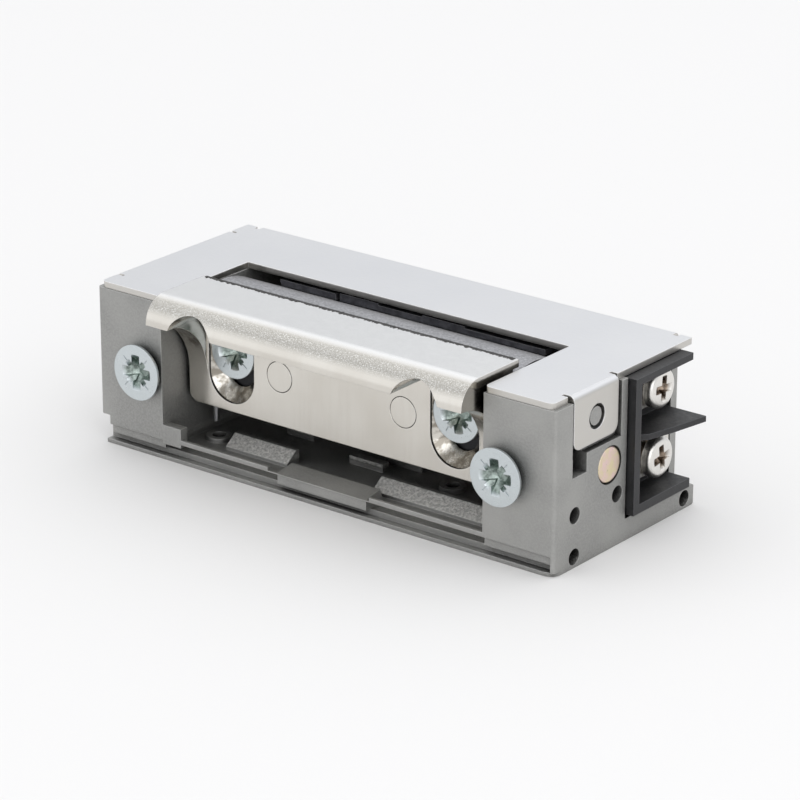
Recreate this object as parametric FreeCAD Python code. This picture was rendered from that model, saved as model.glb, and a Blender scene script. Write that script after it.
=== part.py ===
import FreeCAD, Part
import math, os

from FreeCAD import Vector

# Electric door strike. Millimetres. +X runs along the body towards the terminals,
# +Y from the faceplate side to the back, +Z from the base to the cover.
# The origin is the centre of the base. "Depth" is always measured from the front face.

# ---- driving dimensions -------------------------------------------------------------
BODY_LENGTH = 67.5
BODY_DEPTH = 28.0
HOUSING_HEIGHT = 19.8
SHEET = 0.8                       # thickness of the cover
WINDOW_HALF = 23.85               # half length of the window between the two posts
KEEPER_HALF = 23.2                # half length of the keeper that turns in that window
AXLE_DEPTH = 10.5                 # the line on which the keeper turns
AXLE_Z = 10.3
AXLE_RADIUS = 2.15
KEEPER_RADIUS = 9.9               # rounded top of the keeper, about the axle
FACEPLATE_SCREW_X = 26.6
FACEPLATE_SCREW_Z = 10.8
SLOT_X = 16.6                     # clamping slots of the latch bracket
SLOT_RADIUS = 3.5
CLAMP_SCREW_Z = 13.9
THREAD_RADIUS = 1.75              # M3.5
FIT = 0.02                        # clearance of a screw or pin in its own body
PIN_FIT = 0.05                    # clearance of a shaft that turns

# ---- housing ------------------------------------------------------------------------
HALF = BODY_LENGTH / 2
COVER_TOP = HOUSING_HEIGHT + SHEET
FLOOR_Z = 1.2
SILL_Z = 3.0
SILL_DEPTH = 0.45
FOOT_DEPTH = 1.2                  # of the raised foot at the window's left end
SADDLE_HALF = 7.6                 # the sill is lower over this half length
SADDLE_Z = 2.55
SADDLE_BACK = 2.9
RAMP_FOOT = (4.7, 1.6)            # (depth, z) where the two blasted ramps begin
RAMP_TOP = (6.4, 2.85)            # and where they end
RAMP_BACK = 7.0
CAVITY_BACK = BODY_DEPTH - 1.2
BAY_WALL = 1.05                   # between the main cavity and the terminal bay
BAY_X = WINDOW_HALF + BAY_WALL
BAY_DEPTH = 13.7
BAY_Z = 2.7
BACK_WALL_END_X = 30.85           # the back wall stops here, the rest of the bay is open
GROOVE_BOTTOM = 0.5
GROOVE_TOP = 2.45
GROOVE_STEP = 1.3
END_HOLE_RADIUS = 1.0
END_HOLE_LENGTH = 5.0
END_HOLES = ((12.05, 6.3), (3.85, 6.35), (3.85, 1.35), (25.75, 1.3))
FLOOR_BOSSES = ((-20.9, 6.9), (10.9, 11.6))   # (x, depth) of the small rings on the floor
YOKE_SCREW_X = 11.0
YOKE_SCREW_DEPTH = 22.0
YOKE_SCREW_RADIUS = 1.0
FLANGE_CORNER = 1.5               # rounding of the lower front flange at the right end
TAB_DEPTHS = (3.4, 11.9)          # where the cover's right end tab folds down
LEFT_TAB_DEPTHS = (3.4, 23.6)     # and its longer left one
SLIT_WIDTH = 0.5                  # of the relief slits beside the tabs
TAB_BOTTOM = 14.0
TAB_HOLE = (7.8, 17.0)
TAB_HOLE_RADIUS = 1.5
PEG_RADIUS = 1.1

# ---- cover --------------------------------------------------------------------------
COVER_HALF = 33.2
SLOT_BACK = 16.2
COVER_SLOT_HALF = 23.9
BACK_FLANGE_HALF = 30.9
BACK_FLANGE_BOTTOM = 16.5

# ---- latch bracket ------------------------------------------------------------------
LIP_FRONT = -3.3
LIP_BOTTOM = 18.1
BRACKET_TOP = 21.4
LIP_ROUND = 3.2
PLATE_FRONT = 4.3
PLATE_THICKNESS = 2.0
PLATE_BOTTOM = 6.5
FLANGE_THICKNESS = 0.9
FLANGE_BACK = 7.4
EAR_WIDTH = 2.9
EAR_RADIUS = 7.6
SLOT_BOTTOM = 7.55
ARCH_TOP = 20.4
SLOT_RIM = 0.35                   # straight wall before the countersink begins
SLOT_BACK_RADIUS = 1.9
GUIDE_PIN_X = 9.2
GUIDE_PIN_Z = 12.6
GUIDE_PIN_RADIUS = 1.85
BRACKET_TRAVEL = 2.5

# ---- keeper carrier -----------------------------------------------------------------
CARRIER_FRONT = PLATE_FRONT + PLATE_THICKNESS + 0.2
CARRIER_BOTTOM = 7.0
CARRIER_REAR_RADIUS = 6.6
CARRIER_REAR_ANGLE = 68.0         # the rounded top ends at this angle above the axle
SEAR_HALF = 5.5
SEAR_RADIUS = 7.5
SEAR_ANGLE = -33.0
SEAR_BEVEL = 52.0
SEAR_LENGTH = 1.95
SPRING_POCKET = (19.4, 22.4)      # along X, one at each end
SPRING_RADIUS = 2.75              # middle of the wire, about the axle
SPRING_WIRE = 0.35
LEG_REST_DEPTH = 7.6              # the long legs hang here, behind the latch bracket
LEG_REST_Z = 3.1
PIN_INNER_X = 18.7

# ---- magnet -------------------------------------------------------------------------
PIVOT_DEPTH = 25.3
PIVOT_Z = 15.2
PIVOT_RADIUS = 0.7
ARMATURE_HALF = 8.5
ARMATURE_HUB = 1.35
PLATE_Z = 13.9
PLATE_GAUGE = 1.0
LEG_DEPTH = 18.4
LEG_BOTTOM = 4.4
NOSE_HALF = 5.0
NOSE_TOP = 6.4
NOSE_GAP = 0.35
BOBBIN_HALF = 8.3
BOBBIN_FRONT = 20.7
BOBBIN_BACK = 25.5
BOBBIN_BOTTOM = 3.2
BOBBIN_TOP = 12.9
FLANGE = 0.7
CORE_HALF = 5.0
CORE_DEPTHS = (22.3, 23.9)
CORE_TOP = 13.3
YOKE_GAUGE = 1.1
YOKE_BOTTOM = 1.9
YOKE_BACK = CAVITY_BACK - 0.1
FRAME_HALF = 20.0
FRAME_WALL_X = 13.0
FRAME_WALL = 1.2
FRAME_FRONT = 16.9
FRAME_UNDERSIDE = 18.35
FRAME_TOP = 19.5

# ---- terminals ----------------------------------------------------------------------
BLOCK_DEPTHS = (13.9, 25.2)
BLOCK_Z = (3.2, 19.7)
BLOCK_INNER_X = BAY_X + 0.3
BLOCK_BASE_X = 31.0
BLOCK_FACE_X = 34.8
BLOCK_WALL = 1.1
BLOCK_ROOF = 0.85
FIN_X = 36.8
FIN_Z = 12.1
FIN_THICKNESS = 0.7
TERMINAL_DEPTH = 21.2
TERMINAL_SCREW_Z = (7.75, 16.2)
TERMINAL_HEAD_RADIUS = 2.45
TERMINAL_HEAD = 1.25
TERMINAL_SHANK_RADIUS = 1.5
TERMINAL_FACE_X = 33.6
CONTACT_GAUGE = 0.8
CONTACT_HALF = 2.4
WIRE_RADIUS = 0.55
WIRE_DEPTH = 23.1
WIRE_HEIGHTS = (5.6, 10.6)        # where the two coil wires leave the bobbin


# ---- helpers ------------------------------------------------------------------------
def at(x, depth, z):
    """A point from its place along the body, its depth behind the front face and its height."""
    return Vector(x, depth - BODY_DEPTH / 2, z)


def block(x, depth, z):
    """A box between three pairs of limits."""
    return Part.makeBox(x[1] - x[0], depth[1] - depth[0], z[1] - z[0], at(x[0], depth[0], z[0]))


def rod(radius, start, end):
    """A round bar from one point to another."""
    return Part.makeCylinder(radius, (end - start).Length, start, end - start)


def taper(start_radius, end_radius, start, end):
    """A cone frustum from one point to another."""
    return Part.makeCone(start_radius, end_radius, (end - start).Length, start, end - start)


def along_x(corners, x):
    """A prism whose outline is a list of (depth, z) corners, between two places along the body."""
    points = [at(x[0], depth, z) for depth, z in corners]
    face = Part.Face(Part.makePolygon(points + points[:1]))
    return face.extrude(Vector(x[1] - x[0], 0, 0))


def flip(shape):
    """The mirror image at the other end of the body."""
    return shape.mirror(Vector(0, 0, 0), Vector(1, 0, 0))


def both_ends(shape):
    """A shape and its mirror image."""
    return [shape, flip(shape)]


def join(shapes):
    """One solid from shapes that touch or overlap."""
    return shapes[0].multiFuse(shapes[1:]).removeSplitter()


def rounded(shape, radius, chosen):
    """Round the edges that a test picks."""
    edges = [edge for edge in shape.Edges if chosen(edge)]
    return shape.makeFillet(radius, edges)


def runs(edge, axis):
    """True where an edge is straight and parallel to an axis."""
    if not isinstance(edge.Curve, Part.Line):
        return False
    return abs(abs(edge.Curve.Direction.dot(axis)) - 1) < 1e-6


X_AXIS = Vector(1, 0, 0)
Y_AXIS = Vector(0, 1, 0)
Z_AXIS = Vector(0, 0, 1)


def on_axle(radius, angle):
    """(depth, z) of a point round the axle; 0 degrees is straight back, 90 is straight up."""
    turn = math.radians(angle)
    return AXLE_DEPTH + radius * math.cos(turn), AXLE_Z + radius * math.sin(turn)


def obround(x, radius, z, depth):
    """An upright slot cutter with round ends, from one depth to another."""
    low = rod(radius, at(x, depth[0], z[0] + radius), at(x, depth[1], z[0] + radius))
    high = rod(radius, at(x, depth[0], z[1] - radius), at(x, depth[1], z[1] - radius))
    middle = block((x - radius, x + radius), depth, (z[0] + radius, z[1] - radius))
    return join([middle, low, high])


def tube_path(points, bend):
    """A wire of straight runs joined by tangent arcs of one radius."""
    edges = []
    start = points[0]
    for before, corner, after in zip(points, points[1:], points[2:]):
        incoming = (corner - before).normalize()
        outgoing = (after - corner).normalize()
        turn = incoming.getAngle(outgoing)
        trim = bend * math.tan(turn / 2)
        enter = corner - incoming * trim
        leave = corner + outgoing * trim
        inward = (outgoing - incoming).normalize()
        middle = corner + inward * (bend / math.cos(turn / 2) - bend)
        edges.append(Part.LineSegment(start, enter).toShape())
        edges.append(Part.Arc(enter, middle, leave).toShape())
        start = leave
    edges.append(Part.LineSegment(start, points[-1]).toShape())
    return Part.Wire(edges)


def wire_along(path, radius):
    """A round wire swept along a path."""
    first = path.Edges[0]
    start = first.valueAt(first.FirstParameter)
    tangent = first.tangentAt(first.FirstParameter)
    ring = Part.Wire(Part.makeCircle(radius, start, tangent))
    return path.makePipeShell([ring], True, True)


def coil(wire_radius, mean_radius, pitch, turns):
    """A round wire wound about +Z from the origin upwards."""
    helix = Part.makeHelix(pitch, pitch * turns, mean_radius)
    start = Vector(mean_radius, 0, 0)
    tangent = Vector(0, mean_radius * 2 * math.pi, pitch)
    ring = Part.Wire(Part.makeCircle(wire_radius, start, tangent))
    return Part.Wire(helix).makePipeShell([ring], True, True)


# ---- screws -------------------------------------------------------------------------
def cross_recess(reach, arm, depth):
    """A cross-shaped driver recess below z = 0, narrowing towards its bottom."""
    size = 2 * reach
    arms = [Part.makeBox(size, arm, depth, Vector(-reach, -arm / 2, -depth)),
            Part.makeBox(arm, size, depth, Vector(-arm / 2, -reach, -depth))]
    cone = Part.makeCone(reach * 0.35, reach, depth, Vector(0, 0, -depth))
    return join(arms).common(cone)


def pozidriv_screw(head_radius, length):
    """A countersunk M3.5 screw with its face at z = 0 and its shank along -Z."""
    rim = 0.3
    cone = head_radius - THREAD_RADIUS
    point = 0.5
    solid = join([
        Part.makeCylinder(head_radius, rim, Vector(0, 0, -rim)),
        Part.makeCone(THREAD_RADIUS, head_radius, cone, Vector(0, 0, -rim - cone)),
        Part.makeCylinder(THREAD_RADIUS, length - rim - cone - point, Vector(0, 0, point - length)),
        Part.makeCone(THREAD_RADIUS - point, THREAD_RADIUS, point, Vector(0, 0, -length)),
    ])
    main = cross_recess(2.25, 1.25, 1.5)
    star = cross_recess(1.9, 0.75, 1.25)
    star.rotate(Vector(0, 0, 0), Z_AXIS, 45)
    tick = Part.makeBox(0.8, 0.12, 0.1, Vector(1.8, -0.06, -0.1))
    solid = solid.cut(main).cut(star)
    for quarter in range(4):
        mark = tick.copy()
        mark.rotate(Vector(0, 0, 0), Z_AXIS, 45 + 90 * quarter)
        solid = solid.cut(mark)
    return solid


def facing_front(shape, turn, place):
    """Turn a screw drawn along Z so that its face looks out of the front, and move it there."""
    moved = shape.copy()
    moved.rotate(Vector(0, 0, 0), Z_AXIS, turn)
    moved.rotate(Vector(0, 0, 0), X_AXIS, 90)
    moved.translate(place)
    return moved


def make_faceplate_screws():
    """The two screws that will hold the faceplate, standing proud by its thickness."""
    screw = pozidriv_screw(3.45, 8.0)
    proud = -1.5
    spots = [at(-FACEPLATE_SCREW_X, proud, FACEPLATE_SCREW_Z),
             at(FACEPLATE_SCREW_X, proud, FACEPLATE_SCREW_Z)]
    return [facing_front(screw, turn, spot) for turn, spot in zip((2, 4), spots)]


def make_clamp_screws():
    """The two screws that clamp the latch bracket to the carrier."""
    screw = pozidriv_screw(3.25, 8.0)
    face = PLATE_FRONT + 0.25
    spots = [at(-SLOT_X, face, CLAMP_SCREW_Z), at(SLOT_X, face, CLAMP_SCREW_Z)]
    return [facing_front(screw, turn, spot) for turn, spot in zip((10, 12), spots)]


# ---- housing ------------------------------------------------------------------------
def housing_blank():
    """The outer block with softened corners, the front groove and the step at the left end."""
    blank = block((-HALF, HALF), (0, BODY_DEPTH), (0, HOUSING_HEIGHT))
    blank = rounded(blank, 0.45, lambda edge: runs(edge, Z_AXIS))
    front_band = block((-HALF - 1, HALF - 0.5), (-1, 0.45), (GROOVE_STEP, GROOVE_TOP))
    front_groove = block((-HALF - 1, HALF - 0.5), (-1, 1.0), (GROOVE_BOTTOM, GROOVE_STEP))
    end_step = block((-HALF - 1, -HALF + 1.4), (-1, BODY_DEPTH + 1), (GROOVE_STEP, 3.6))
    flange_end = block((-HALF - 1, -HALF + 0.9), (-1, BODY_DEPTH + 1), (-1, GROOVE_STEP))
    return blank.cut(front_band).cut(front_groove).cut(end_step).cut(flange_end)


def housing_cavities():
    """What is hollowed out of the block."""
    top = HOUSING_HEIGHT + 1
    window = block((-WINDOW_HALF, WINDOW_HALF), (-1, CAVITY_BACK), (SILL_Z, top))
    well = block((-WINDOW_HALF, WINDOW_HALF), (SILL_DEPTH, CAVITY_BACK), (FLOOR_Z, SILL_Z))
    bay = block((BAY_X, HALF + 1), (BAY_DEPTH, CAVITY_BACK), (BAY_Z, top))
    bay_mouth = block((BACK_WALL_END_X, HALF + 1), (BAY_DEPTH, BODY_DEPTH + 1), (BAY_Z, top))
    left_pocket = block((-HALF + 1.5, -BAY_X), (BAY_DEPTH, CAVITY_BACK), (BAY_Z, top))
    wire_slot = block((WINDOW_HALF - 1, BAY_X + 1), (TERMINAL_DEPTH - 1.1, TERMINAL_DEPTH + 1.1),
                      (TERMINAL_SCREW_Z[0] - 1.1, TERMINAL_SCREW_Z[1] + 1.1))
    saddle = block((-SADDLE_HALF, SADDLE_HALF), (-1, SILL_DEPTH + 1), (SADDLE_Z, SILL_Z + 1))
    back_seat = block((-BACK_FLANGE_HALF - 0.2, BACK_FLANGE_HALF + 0.2),
                      (BODY_DEPTH - SHEET - 0.02, BODY_DEPTH + 1),
                      (BACK_FLANGE_BOTTOM - 0.2, top))
    return [window, well, bay, bay_mouth, left_pocket, wire_slot, back_seat, saddle]


def window_floor():
    """The saddle, ramps, bars and bosses on the floor of the window."""
    foot = block((-WINDOW_HALF, -21.05), (0, FOOT_DEPTH), (SILL_Z - 1, 4.4))
    saddle = along_x([(0.2, FLOOR_Z), (0.2, SADDLE_Z), (SADDLE_BACK, SILL_Z),
                      (SADDLE_BACK + 0.5, FLOOR_Z)], (-6.2, 7.0))
    profile = [(RAMP_FOOT[0], FLOOR_Z), RAMP_FOOT, RAMP_TOP,
               (RAMP_BACK, RAMP_TOP[1]), (RAMP_BACK, FLOOR_Z)]
    ramps = [along_x(profile, x) for x in ((-18.0, -8.5), (4.4, WINDOW_HALF))]
    bars = [block((-15.5, -11.4), (13.2, 14.6), (FLOOR_Z, 1.9)),
            block((-3.6, 1.4), (10.4, 11.6), (FLOOR_Z, 2.25)),
            block((-0.5, 5.0), (13.3, 14.6), (FLOOR_Z, 2.3))]
    bosses = [rod(1.6, at(x, depth, FLOOR_Z), at(x, depth, 1.75)) for x, depth in FLOOR_BOSSES]
    return [foot, saddle] + ramps + bars + bosses


def tab_recess(depths):
    """The right-hand pocket in an end face that a tab of the cover folds into."""
    return block((HALF - SHEET - 0.05, HALF + 1), (depths[0] - 0.2, depths[1] + 0.7),
                 (TAB_BOTTOM - 0.8, HOUSING_HEIGHT + 1))


def flange_corner():
    """Rounds the right-hand corner of the thin flange under the front groove."""
    inner = HALF - FLANGE_CORNER
    corner = block((inner, HALF + 1), (-1, FLANGE_CORNER), (-1, GROOVE_BOTTOM))
    round_part = rod(FLANGE_CORNER, at(inner, FLANGE_CORNER, -1),
                     at(inner, FLANGE_CORNER, GROOVE_BOTTOM))
    return corner.cut(round_part)


def tongue_corners():
    """Cutters that round the two back corners of the bay's open floor."""
    span = (BACK_WALL_END_X, HALF + 1)
    cutters = []
    for radius, face, inner in ((1.1, BAY_Z, BAY_Z - 1.1), (0.8, 0, 0.8)):
        centre_depth = BODY_DEPTH - radius
        corner = block(span, (centre_depth, BODY_DEPTH + 1), (min(face, inner), max(face, inner)))
        bar = rod(radius, at(span[0], centre_depth, inner), at(span[1], centre_depth, inner))
        cutters.append(corner.cut(bar))
    return cutters


def end_details():
    """Cutters for one end face: the latch notch and the small blind holes."""
    notch = block((HALF - 3, HALF + 1), (3.25, 6.0), (10.9, TAB_BOTTOM))
    holes = [rod(END_HOLE_RADIUS, at(HALF - END_HOLE_LENGTH, depth, z), at(HALF + 1, depth, z))
             for depth, z in END_HOLES]
    return [notch] + holes


def make_housing():
    """The die-cast housing."""
    solid = housing_blank()
    for cavity in housing_cavities():
        solid = solid.cut(cavity)
    solid = join([solid] + window_floor())
    for cutter in end_details():
        for each in both_ends(cutter):
            solid = solid.cut(each)
    recesses = [tab_recess(TAB_DEPTHS), flip(tab_recess(LEFT_TAB_DEPTHS))]
    for cutter in recesses + [flange_corner()] + tongue_corners():
        solid = solid.cut(cutter)
    pin_rim = taper(AXLE_RADIUS, AXLE_RADIUS + 0.16, at(HALF - 0.3, AXLE_DEPTH, AXLE_Z),
                    at(HALF, AXLE_DEPTH, AXLE_Z))
    pin_bore = rod(AXLE_RADIUS + FIT, at(WINDOW_HALF - 1, AXLE_DEPTH, AXLE_Z),
                   at(HALF + 1, AXLE_DEPTH, AXLE_Z))
    screw_hole = rod(THREAD_RADIUS + FIT, at(FACEPLATE_SCREW_X, -1, FACEPLATE_SCREW_Z),
                     at(FACEPLATE_SCREW_X, 7.2, FACEPLATE_SCREW_Z))
    mouth = taper(THREAD_RADIUS + 0.65, THREAD_RADIUS, at(FACEPLATE_SCREW_X, 0, FACEPLATE_SCREW_Z),
                  at(FACEPLATE_SCREW_X, 0.65, FACEPLATE_SCREW_Z))
    yoke_hole = rod(YOKE_SCREW_RADIUS + FIT, at(YOKE_SCREW_X, YOKE_SCREW_DEPTH, 0.4),
                    at(YOKE_SCREW_X, YOKE_SCREW_DEPTH, FLOOR_Z + 1))
    boss_holes = [rod(0.9, at(x, depth, 0.6), at(x, depth, SILL_Z)) for x, depth in FLOOR_BOSSES]
    for cutter in (pin_bore, pin_rim, screw_hole, mouth, yoke_hole):
        for each in both_ends(cutter):
            solid = solid.cut(each)
    for cutter in boss_holes:
        solid = solid.cut(cutter)
    depth, z = TAB_HOLE
    peg = rod(PEG_RADIUS, at(HALF - 1.2, depth, z), at(HALF - 0.2, depth, z))
    return join([solid] + both_ends(peg))


# ---- cover --------------------------------------------------------------------------
def end_tab(depths):
    """The right-hand tab of the cover, bent down over the end of the housing."""
    inner = HALF - SHEET
    heights = (HOUSING_HEIGHT, COVER_TOP)
    bridge = block((COVER_HALF - 1, inner), depths, heights)
    corner = rod(SHEET, at(inner, depths[0], HOUSING_HEIGHT), at(inner, depths[1], HOUSING_HEIGHT))
    corner = corner.common(block((inner, HALF), depths, heights))
    leaf = block((inner, HALF), depths, (TAB_BOTTOM, HOUSING_HEIGHT))
    leaf = rounded(leaf, 1.2, lambda edge: runs(edge, X_AXIS) and edge.BoundBox.ZMax < TAB_BOTTOM + 0.1)
    depth, z = TAB_HOLE
    hole = rod(TAB_HOLE_RADIUS, at(inner - 1, depth, z), at(HALF + 1, depth, z))
    return join([bridge, corner, leaf]).cut(hole)


def tab_reliefs(depths):
    """The right-hand slits in the cover beside a tab."""
    half = SLIT_WIDTH / 2
    return [block((COVER_HALF - 0.9, HALF + 1), (depth - half, depth + half),
                  (HOUSING_HEIGHT - 1, COVER_TOP + 1))
            for depth in (depths[0] - half, depths[1] + half)]


def make_cover():
    """The stainless cover: a U-shaped plate with two end tabs and a back flange."""
    heights = (HOUSING_HEIGHT, COVER_TOP)
    plate = block((-COVER_HALF, COVER_HALF), (0.1, BODY_DEPTH - SHEET), heights)
    plate = rounded(plate, 0.7, lambda edge: runs(edge, Z_AXIS) and edge.BoundBox.YMax < 0)
    slot = block((-COVER_SLOT_HALF, COVER_SLOT_HALF), (-2, SLOT_BACK),
                 (HOUSING_HEIGHT - 1, COVER_TOP + 1))
    plate = plate.cut(slot)
    front_y = 0.7 - BODY_DEPTH / 2
    plate = rounded(plate, 0.6, lambda edge: runs(edge, Z_AXIS) and edge.BoundBox.YMax < front_y
                    and abs(edge.BoundBox.XMax) < COVER_SLOT_HALF + 0.1)
    back = BODY_DEPTH - SHEET
    bend = rod(SHEET, at(-BACK_FLANGE_HALF, back, HOUSING_HEIGHT),
               at(BACK_FLANGE_HALF, back, HOUSING_HEIGHT))
    bend = bend.common(block((-HALF, HALF), (back, BODY_DEPTH), heights))
    flange = block((-BACK_FLANGE_HALF, BACK_FLANGE_HALF), (back, BODY_DEPTH),
                   (BACK_FLANGE_BOTTOM, HOUSING_HEIGHT))
    corner_relief = block((BACK_FLANGE_HALF, BACK_FLANGE_HALF + 0.8), (back - 0.6, BODY_DEPTH),
                          (0, COVER_TOP + 1))
    slits = tab_reliefs(TAB_DEPTHS) + [flip(slit) for slit in tab_reliefs(LEFT_TAB_DEPTHS)]
    for cutter in slits + both_ends(corner_relief):
        plate = plate.cut(cutter)
    return join([plate, bend, flange, end_tab(TAB_DEPTHS), flip(end_tab(LEFT_TAB_DEPTHS))])


# ---- keeper -------------------------------------------------------------------------
def make_keeper_pins():
    """The two stub axles, flush with the ends of the housing."""
    pin = rod(AXLE_RADIUS, at(PIN_INNER_X, AXLE_DEPTH, AXLE_Z), at(HALF - 0.05, AXLE_DEPTH, AXLE_Z))
    pin = rounded(pin, 0.25, lambda edge: isinstance(edge.Curve, Part.Circle))
    return both_ends(pin)


def bracket_slot_cutters(x):
    """Cutters for a clamping slot: screwdriver arch through the lip, then a countersunk slot."""
    rim_depth = PLATE_FRONT + SLOT_RIM
    arch = obround(x, SLOT_RADIUS, (SLOT_BOTTOM, ARCH_TOP), (LIP_FRONT - 1, rim_depth))
    low = SLOT_BOTTOM + SLOT_RADIUS
    high = ARCH_TOP - SLOT_RADIUS
    cone_end = rim_depth + SLOT_RADIUS - SLOT_BACK_RADIUS
    cones = [taper(SLOT_RADIUS, SLOT_BACK_RADIUS, at(x, rim_depth, z), at(x, cone_end, z))
             for z in (low, high)]
    section = [(x - SLOT_RADIUS, rim_depth), (x + SLOT_RADIUS, rim_depth),
               (x + SLOT_BACK_RADIUS, cone_end), (x - SLOT_BACK_RADIUS, cone_end)]
    corners = [at(place, depth, low) for place, depth in section]
    wedge = Part.Face(Part.makePolygon(corners + corners[:1])).extrude(Vector(0, 0, high - low))
    through = obround(x, SLOT_BACK_RADIUS, (low - SLOT_BACK_RADIUS, high + SLOT_BACK_RADIUS),
                      (rim_depth, CARRIER_FRONT))
    return [arch, wedge, through] + cones


def bracket_ear():
    """The right-hand gusset, hollowed by a quarter circle between the lip and the plate."""
    ear_x = (KEEPER_HALF - EAR_WIDTH, KEEPER_HALF)
    solid = block(ear_x, (LIP_FRONT, PLATE_FRONT + 0.5), (LIP_BOTTOM - EAR_RADIUS, LIP_BOTTOM))
    hollow = rod(EAR_RADIUS, at(ear_x[0] - 1, LIP_FRONT, LIP_BOTTOM - EAR_RADIUS),
                 at(ear_x[1] + 1, LIP_FRONT, LIP_BOTTOM - EAR_RADIUS))
    return solid.cut(hollow)


def make_bracket():
    """The nickel-plated latch bracket: plate, lip, top flange, ears and two clamping slots."""
    span = (-KEEPER_HALF, KEEPER_HALF)
    plate = block(span, (PLATE_FRONT, PLATE_FRONT + PLATE_THICKNESS), (PLATE_BOTTOM, BRACKET_TOP))
    plate = rounded(plate, 1.3, lambda edge: runs(edge, Y_AXIS)
                    and edge.BoundBox.ZMax < PLATE_BOTTOM + 0.1)
    lip = block(span, (LIP_FRONT, PLATE_FRONT + 0.5), (LIP_BOTTOM, BRACKET_TOP))
    lip = rounded(lip, LIP_ROUND, lambda edge: runs(edge, X_AXIS)
                  and edge.BoundBox.ZMin > BRACKET_TOP - 0.1
                  and edge.BoundBox.YMax < LIP_FRONT - BODY_DEPTH / 2 + 0.1)
    flange = block(span, (PLATE_FRONT, FLANGE_BACK), (BRACKET_TOP - FLANGE_THICKNESS, BRACKET_TOP))
    solid = join([plate, lip, flange] + both_ends(bracket_ear()))
    for x in (-SLOT_X, SLOT_X):
        for cutter in bracket_slot_cutters(x):
            solid = solid.cut(cutter)
        pin_x = math.copysign(GUIDE_PIN_X, x)
        solid = solid.cut(rod(GUIDE_PIN_RADIUS + FIT, at(pin_x, PLATE_FRONT - 1, GUIDE_PIN_Z),
                              at(pin_x, CARRIER_FRONT + 1, GUIDE_PIN_Z)))
        solid = solid.cut(taper(GUIDE_PIN_RADIUS + 0.09, GUIDE_PIN_RADIUS,
                                at(pin_x, PLATE_FRONT, GUIDE_PIN_Z),
                                at(pin_x, PLATE_FRONT + 0.15, GUIDE_PIN_Z)))
    return solid


def make_guide_pins():
    """Pins pressed flush into the bracket; behind it they run in grooves of the carrier."""
    pin = rod(GUIDE_PIN_RADIUS, at(GUIDE_PIN_X, PLATE_FRONT, GUIDE_PIN_Z),
              at(GUIDE_PIN_X, CARRIER_FRONT + 1.2, GUIDE_PIN_Z))
    return both_ends(pin)


def carrier_profile():
    """The carrier's section without its sear, as a face at x = 0."""
    run = CARRIER_FRONT - AXLE_DEPTH
    front_top = AXLE_Z + math.sqrt(KEEPER_RADIUS ** 2 - run ** 2)
    low_angle = -50.0
    corners = [(CARRIER_FRONT, CARRIER_BOTTOM), (CARRIER_FRONT, front_top),
               on_axle(KEEPER_RADIUS, 90), on_axle(KEEPER_RADIUS, CARRIER_REAR_ANGLE),
               on_axle(CARRIER_REAR_RADIUS, CARRIER_REAR_ANGLE), on_axle(CARRIER_REAR_RADIUS, 0),
               on_axle(CARRIER_REAR_RADIUS, low_angle)]
    spot = [at(0, depth, z) for depth, z in corners]
    edges = [Part.LineSegment(spot[0], spot[1]).toShape(),
             Part.Arc(spot[1], spot[2], spot[3]).toShape(),
             Part.LineSegment(spot[3], spot[4]).toShape(),
             Part.Arc(spot[4], spot[5], spot[6]).toShape(),
             Part.LineSegment(spot[6], spot[0]).toShape()]
    return Part.Face(Part.Wire(edges))


def sear():
    """The tooth under the back of the carrier that the armature's nose holds."""
    tip = on_axle(SEAR_RADIUS, SEAR_ANGLE)
    slope = math.radians(SEAR_BEVEL)
    toe = (tip[0] - SEAR_LENGTH * math.cos(slope), tip[1] - SEAR_LENGTH * math.sin(slope))
    root = on_axle(CARRIER_REAR_RADIUS, 0)
    corners = [root, tip, toe, (toe[0] - 3.0, toe[1] + 0.6), (AXLE_DEPTH, AXLE_Z)]
    return along_x(corners, (-SEAR_HALF, SEAR_HALF))


def spring_pocket():
    """Room in the carrier for the right-hand return spring and its two legs."""
    x = SPRING_POCKET
    barrel = rod(SPRING_RADIUS + 0.85, at(x[0], AXLE_DEPTH, AXLE_Z), at(x[1], AXLE_DEPTH, AXLE_Z))
    below = block(x, (CARRIER_FRONT - 1, 13.5), (0, AXLE_Z - 1.0))
    return join([barrel, below])


def make_carrier():
    """The black keeper carrier that turns on the stub axles."""
    solid = carrier_profile().extrude(Vector(2 * (KEEPER_HALF - 0.2), 0, 0))
    solid.translate(Vector(0.2 - KEEPER_HALF, 0, 0))
    solid = join([solid, sear()])
    bore = rod(AXLE_RADIUS + PIN_FIT, at(PIN_INNER_X - 0.2, AXLE_DEPTH, AXLE_Z),
               at(HALF, AXLE_DEPTH, AXLE_Z))
    thread = rod(THREAD_RADIUS + FIT, at(SLOT_X, CARRIER_FRONT - 1, CLAMP_SCREW_Z),
                 at(SLOT_X, 12.8, CLAMP_SCREW_Z))
    groove_half = GUIDE_PIN_RADIUS + 0.25
    groove = block((GUIDE_PIN_X - groove_half, GUIDE_PIN_X + groove_half),
                   (CARRIER_FRONT - 1, CARRIER_FRONT + 1.5),
                   (GUIDE_PIN_Z - groove_half, GUIDE_PIN_Z + groove_half + BRACKET_TRAVEL))
    for cutter in (bore, thread, groove, spring_pocket()):
        for each in both_ends(cutter):
            solid = solid.cut(each)
    return solid


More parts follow.
